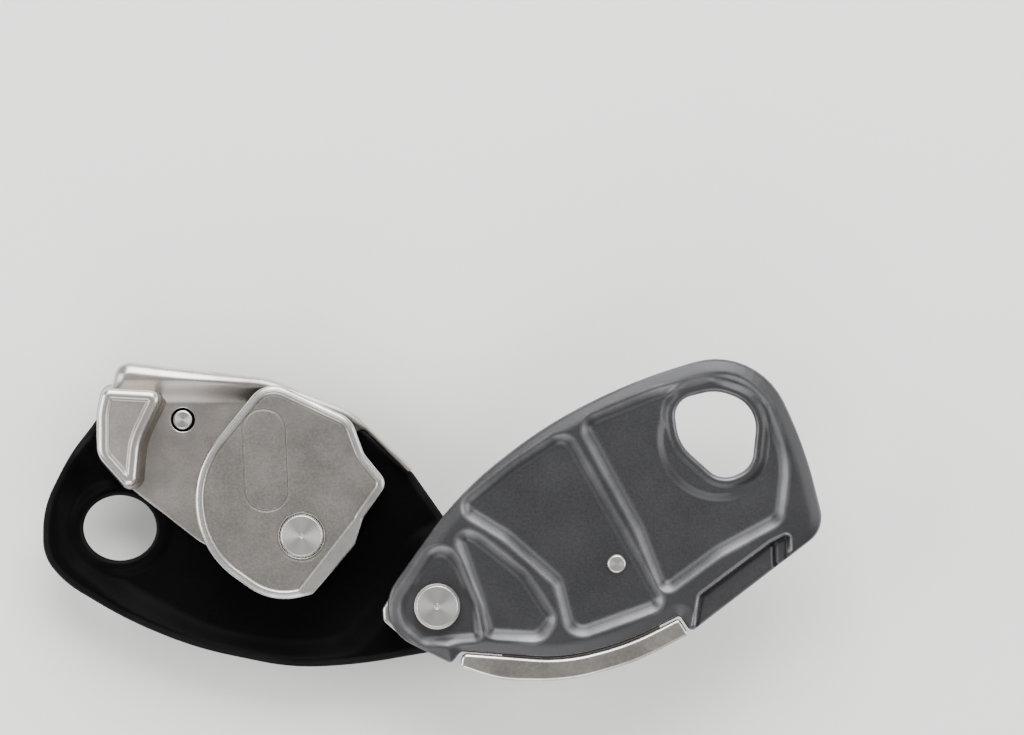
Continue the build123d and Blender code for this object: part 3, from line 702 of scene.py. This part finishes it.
class BELAY_OT_moving_plate(bpy.types.Operator):
    """Dark grey moving plate: pressed panels, ribs, rolled border, collared eye, stepped ledge"""
    bl_idname = "belay.moving_plate"
    bl_label = "Moving plate"

    def execute(self, context):
        sizes = context.scene.belay_sizes
        line = rounded(MOVING_OUTLINE, PIVOT)
        outside, eye = distance_to(line), distance_to(rounded(MOVING_EYE, PIVOT))
        panels = [distance_to(rounded(panel, PIVOT))
                  for panel in (PIVOT_PANEL, HAND_PANEL, MIDDLE_PANEL, EYE_PANEL)]
        ledge, tongue = distance_to(rounded(LEDGE, PIVOT)), distance_to(rounded(TONGUE_OUTLINE, PIVOT))
        collar_centre, collar_side = PIVOT + (58.2, 34.6), np.array([-0.77, -0.64])
        groove = capsule_field(PIVOT + (69.5, 12.3), PIVOT + (69.7, 8.4), 0.3)

        def pressed(p):
            """Soft walls let the ribs between the panels come out as rounded ridges."""
            z = PLATE_TOP - 1.1 * (1 - step(-outside(p) - 1.2, 4.2))
            for panel in panels:
                z = z - (PLATE_TOP - PANEL_TOP - 0.1) * step(-panel(p) + 0.2, 3.0)
            arm = p - collar_centre
            reach = np.linalg.norm(arm, axis=1)
            toward = np.clip((arm @ collar_side) / np.maximum(reach, 1e-6) * 1.6 + 0.2, 0, 1)
            collar = step(12.2 - reach, 2.2) * toward * 0.9
            ring = step(2.3 - eye(p), 2.2) * 1.35
            return np.minimum(z + np.maximum(collar, ring), PLATE_TOP)

        def top(p):
            """The pressing, cut down to the ledge's height inside the ledge, less the blind groove."""
            z = pressed(p)
            z = z - np.maximum(z - (PLATE_BOTTOM + 1.5), 0) * step(-ledge(p), 0.8)
            return z - 0.9 * step(-groove(p), 0.9)

        def bottom(p):
            """The underside follows the pressing, and eases over the ledge more widely than the top does."""
            raised = np.maximum(pressed(p) - 1.7 - PLATE_BOTTOM, 0) * (1 - step(-ledge(p) + 0.6, 2.6))
            return PLATE_BOTTOM + raised + 0.75 * step(-tongue(p), 0.3)

        walls = [(outside, (sizes.edge, sizes.edge * 1.2), (0.35, 0.3)), (hole(eye), (0.9, 0.9), (0.35, 0.3)),
                 (hole(circle_field(PIVOT, 4.4)), (0.2, 0.2), (0.2, 0.2))]
        points, faces, wear = plate(line, walls, top, bottom, sizes.grid)
        plan, face_up = points[:, :2], points[:, 2] > PLATE_BOTTOM + 0.5
        crest = np.max([step(1.1 - np.abs(panel(plan) - 0.9), 1.4) for panel in panels], axis=0)
        lip = step(0.5 - np.abs(ledge(plan) - 0.3), 0.5) * (outside(plan) < -0.8)
        wear = np.clip(np.maximum(wear * 0.5, face_up * np.maximum(0.45 * crest, 0.9 * lip)), 0, 1)
        # painted shade: dark in the blind groove and along the foot of the ledge's wall
        crease_shade = face_up * np.maximum(0.9 * step(-groove(plan) + 0.1, 0.4),
                                     0.7 * step(0.35 - np.abs(ledge(plan) + 0.55), 0.5))
        make_mesh("moving_plate_pressing", points, faces, "moving_side", finishes()["grey"],
                  ["moving_side_plate"], {"wear": wear, "crease_shade": crease_shade})
        return {"FINISHED"}


class BELAY_OT_wear_strip(bpy.types.Operator):
    """Stainless rope edge of the moving plate, with its tongue"""
    bl_idname = "belay.wear_strip"
    bl_label = "Wear strip"

    def execute(self, context):
        line = rounded(STRIP_OUTLINE, PIVOT)
        points, faces, wear = plate(line, [(distance_to(line), (0.7, 0.7), (0.7, 0.7))],
                                    lambda p: np.full(len(p), PLATE_TOP - 0.35),
                                    lambda p: np.full(len(p), PLATE_BOTTOM + 0.02), 0.28)
        make_mesh("wear_strip_bar", points, faces, "moving_side", finishes()["tumbled"], ["wear_strip"],
                  {"wear": wear})
        line = rounded(TONGUE_OUTLINE, PIVOT)
        points, faces, wear = plate(line, [(distance_to(line), (0.15, 0.15), (0.15, 0.15))],
                                    lambda p: np.full(len(p), PLATE_BOTTOM + 0.68),
                                    lambda p: np.full(len(p), PLATE_BOTTOM + 0.04), 0.5)
        make_mesh("wear_strip_tongue", points, faces, "moving_side", finishes()["tumbled"], [],
                  {"wear": wear})
        return {"FINISHED"}


def turned(name, corners, centre, body, material, nodes, closed=False, turns=96):
    """One turned piece; a closed profile is a ring, an open one runs from axis to axis."""
    profile = rounded(corners)[:, :2] if closed else rounded_profile(corners)
    points, faces = lathe(profile, centre, turns, closed)
    obj = make_mesh(name, points, faces, body, material, nodes, {"wear": np.zeros(len(points))})
    return merge(obj)


class BELAY_OT_pins(bpy.types.Operator):
    """Turned pins and washer, and the steel block under the pivot"""
    bl_idname = "belay.pins"
    bl_label = "Pins and block"

    def execute(self, context):
        c = context.scene.belay_finishes
        steel = list(c.polished)
        top = high("plate_pivot_post")
        post = [(0, BACK + 0.1), (4.6, BACK + 0.1, 0.1), (4.6, BACK + 0.6, 0.1), (3.4, BACK + 1.2, 0.1),
                (3.4, PLATE_TOP, 0.05), (4.77, PLATE_TOP, 0.1), (4.77, top - 0.7, 0.12),
                (4.15, top - 0.08, 0.12), (0.55, top, 0.1), (0.35, top - 0.35, 0.1), (0, top - 0.4)]
        turned("pivot_post_turned", post, PIVOT, "fixed_side",
               turned_steel("turned_steel_post", PIVOT, steel, 0.27), ["plate_pivot_post"])
        head = CAM_TOP
        axle = [(0, 1.4), (3.6, 1.4, 0.2), (4.0, 1.8, 0.1), (4.0, head - 1.6, 0.05), (4.55, head - 1.6, 0.1),
                (4.55, head - 0.45, 0.12), (4.1, head - 0.05, 0.12), (0.45, head, 0.1), (0.3, head - 0.3, 0.08),
                (0, head - 0.35)]
        turned("cam_axle_turned", axle, AXLE, "fixed_side",
               turned_steel("turned_steel_axle", AXLE, steel, 0.3), ["cam_axle"])
        centre, rivet_low = PIVOT + (37.0, 8.7), PLATE_BOTTOM + 0.05
        rivet = [(0, rivet_low), (1.5, rivet_low, 0.05), (1.5, PANEL_TOP, 0.05), (1.97, PANEL_TOP, 0.1),
                 (1.97, PANEL_TOP + 0.55, 0.12), (1.6, PANEL_TOP + 0.86, 0.15), (0, PANEL_TOP + 0.9)]
        turned("strip_rivet_turned", rivet, centre, "moving_side",
               turned_steel("turned_steel_rivet", centre, steel, 0.25), ["strip_rivet"],
               turns=64)
        shaft_top = high("mode_shaft")
        shaft = [(0, low("mode_shaft")), (2.0, low("mode_shaft"), 0.2), (2.0, shaft_top - 0.2, 0.15),
                 (1.7, shaft_top, 0.15), (0, shaft_top)]
        turned("mode_shaft_turned", shaft, SELECTOR, "selector",
               turned_steel("turned_steel_shaft", SELECTOR, steel, 0.33), ["mode_shaft"],
               turns=64)
        anvil_line = rounded(ANVIL_OUTLINE, PIVOT)
        bottom, upper = low("brake_anvil"), high("brake_anvil")
        points, faces, wear = plate(anvil_line, [(distance_to(anvil_line), (0.7, 0.7), (0.3, 0.3)),
                                     (hole(circle_field(PIVOT, 3.45)), (0.2, 0.2), (0.2, 0.2))],
                                    lambda p: np.full(len(p), upper), lambda p: np.full(len(p), bottom), 0.4)
        make_mesh("brake_anvil_block", points, faces, "fixed_side", finishes()["blasted"], ["brake_anvil"],
                  {"wear": wear})
        washer_low, washer_high = low("pivot_washer"), high("pivot_washer")
        turned("pivot_washer_turned", [(3.45, washer_low, 0.1), (6.6, washer_low, 0.2), (6.6, washer_high, 0.2),
                                       (3.45, washer_high, 0.1)], PIVOT, "fixed_side", finishes()["spring"],
               ["pivot_washer"], closed=True)
        return {"FINISHED"}


# ---- stage --------------------------------------------------------------------------------------
VIEW_WIDTH = 212.5                     # width seen at the plates, in millimetres
VIEW_CENTRE = (43.5, 34.8)             # middle of the view, from the cam axle
CAMERA_HEIGHT = 1.3                    # metres
SENSOR = 36.0
FLOOR_HALF = 2.0                       # half the floor's width, in metres


class BELAY_OT_stage(bpy.types.Operator):
    """Pale floor, soft studio light and a camera looking straight down"""
    bl_idname = "belay.stage"
    bl_label = "Stage"

    def execute(self, context):
        scene = context.scene
        floor_material = bpy.data.materials.new("matte_painted_floor")
        floor_material.use_nodes = True
        tree = floor_material.node_tree
        shader = tree.nodes["Principled BSDF"]
        shade = add(tree, "ShaderNodeTexNoise", {"Scale": 3.0, "Detail": 2.0})
        tone = add(tree, "ShaderNodeValToRGB", {"Fac": shade.outputs["Fac"]})
        base = list(scene.belay_finishes.floor)
        tone.color_ramp.elements[0].color = [c * 0.985 for c in base[:3]] + [1.0]
        tone.color_ramp.elements[1].color = base
        tree.links.new(tone.outputs["Color"], shader.inputs["Base Color"])
        shader.inputs["Roughness"].default_value = 0.7
        half = FLOOR_HALF
        mesh = bpy.data.meshes.new("studio_floor")
        corners = [(-half, -half, 0), (half, -half, 0), (half, half, 0), (-half, half, 0)]
        mesh.from_pydata(corners, [], [(0, 1, 2, 3)])
        mesh.materials.append(floor_material)
        floor = bpy.data.objects.new("studio_floor", mesh)
        scene.collection.objects.link(floor)

        centre = (AXLE + VIEW_CENTRE) / MM
        camera = bpy.data.cameras.new("camera")
        camera.sensor_width = SENSOR
        plane = PLATE_TOP / MM * 0.7
        camera.lens = SENSOR * (CAMERA_HEIGHT - plane) / (VIEW_WIDTH / MM)
        camera.clip_start, camera.clip_end = 0.05, 20
        camera_object = bpy.data.objects.new("camera", camera)
        camera_object.location = (centre[0], centre[1], CAMERA_HEIGHT)
        scene.collection.objects.link(camera_object)
        scene.camera = camera_object

        lamps = [("top_box", (0.05, 0.85, 0.75), 0.9, 22.0), ("front_box", (-0.1, -0.9, 0.8), 0.9, 8.0),
                 ("left_box", (-0.95, 0.05, 0.6), 0.7, 8.0), ("right_box", (0.95, 0.1, 0.6), 0.7, 6.0)]
        for name, spot, size, power in lamps:
            light = bpy.data.lights.new(name, "AREA")
            light.shape, light.size, light.energy = "SQUARE", size, power
            holder = bpy.data.objects.new(name, light)
            holder.location = spot
            holder.rotation_mode = "QUATERNION"
            holder.rotation_quaternion = (Vector((0, 0, 0)) - Vector(spot)).to_track_quat("-Z", "Y")
            scene.collection.objects.link(holder)
        world = bpy.data.worlds.new("studio")
        world.use_nodes = True
        world.node_tree.nodes["Background"].inputs["Color"].default_value = (1, 1, 1, 1)
        world.node_tree.nodes["Background"].inputs["Strength"].default_value = 0.5
        scene.world = world
        return {"FINISHED"}


class BELAY_PT_panel(bpy.types.Panel):
    """Lists the pieces in the sidebar"""
    bl_idname = "BELAY_PT_panel"
    bl_label = "Belay device"
    bl_space_type = "VIEW_3D"
    bl_region_type = "UI"
    bl_category = "Belay"

    def draw(self, context):
        for settings in (context.scene.belay_finishes, context.scene.belay_sizes):
            for key in settings.__annotations__:
                self.layout.prop(settings, key)
        for operator in OPERATORS:
            self.layout.operator(operator.bl_idname)


OPERATORS = (BELAY_OT_fixed_plate, BELAY_OT_friction_plate, BELAY_OT_cam, BELAY_OT_moving_plate,
             BELAY_OT_wear_strip, BELAY_OT_pins, BELAY_OT_stage)
CLASSES = (BelayFinishes, BelaySizes) + OPERATORS + (BELAY_PT_panel,)


def register():
    for made in CLASSES:
        bpy.utils.register_class(made)
    bpy.types.Scene.belay_finishes = bpy.props.PointerProperty(type=BelayFinishes)
    bpy.types.Scene.belay_sizes = bpy.props.PointerProperty(type=BelaySizes)


def unregister():
    del bpy.types.Scene.belay_sizes
    del bpy.types.Scene.belay_finishes
    for made in reversed(CLASSES):
        bpy.utils.unregister_class(made)


def dress_cad_nodes():
    """The CAD pieces that stay get their finish."""
    wanted = {"cam_bush": "bronze", "handle_bush": "bronze", "moving_plate_bush": "bronze",
              "handle_lever": "nylon", "handle_cap": "nylon", "mode_knob": "nylon",
              "axle_retaining_ring": "spring", "cam_return_spring": "spring", "anti_panic_spring": "spring",
              "mode_wave_washer": "spring"}
    for name, node in frame["nodes"].items():
        node.data.materials.clear()
        node.data.materials.append(finishes()[wanted.get(name, "blasted")])


def main():
    register()
    for operator in OPERATORS:
        group, name = operator.bl_idname.split(".")
        getattr(getattr(bpy.ops, group), name)()
    dress_cad_nodes()


if __name__ == "__main__":
    main()
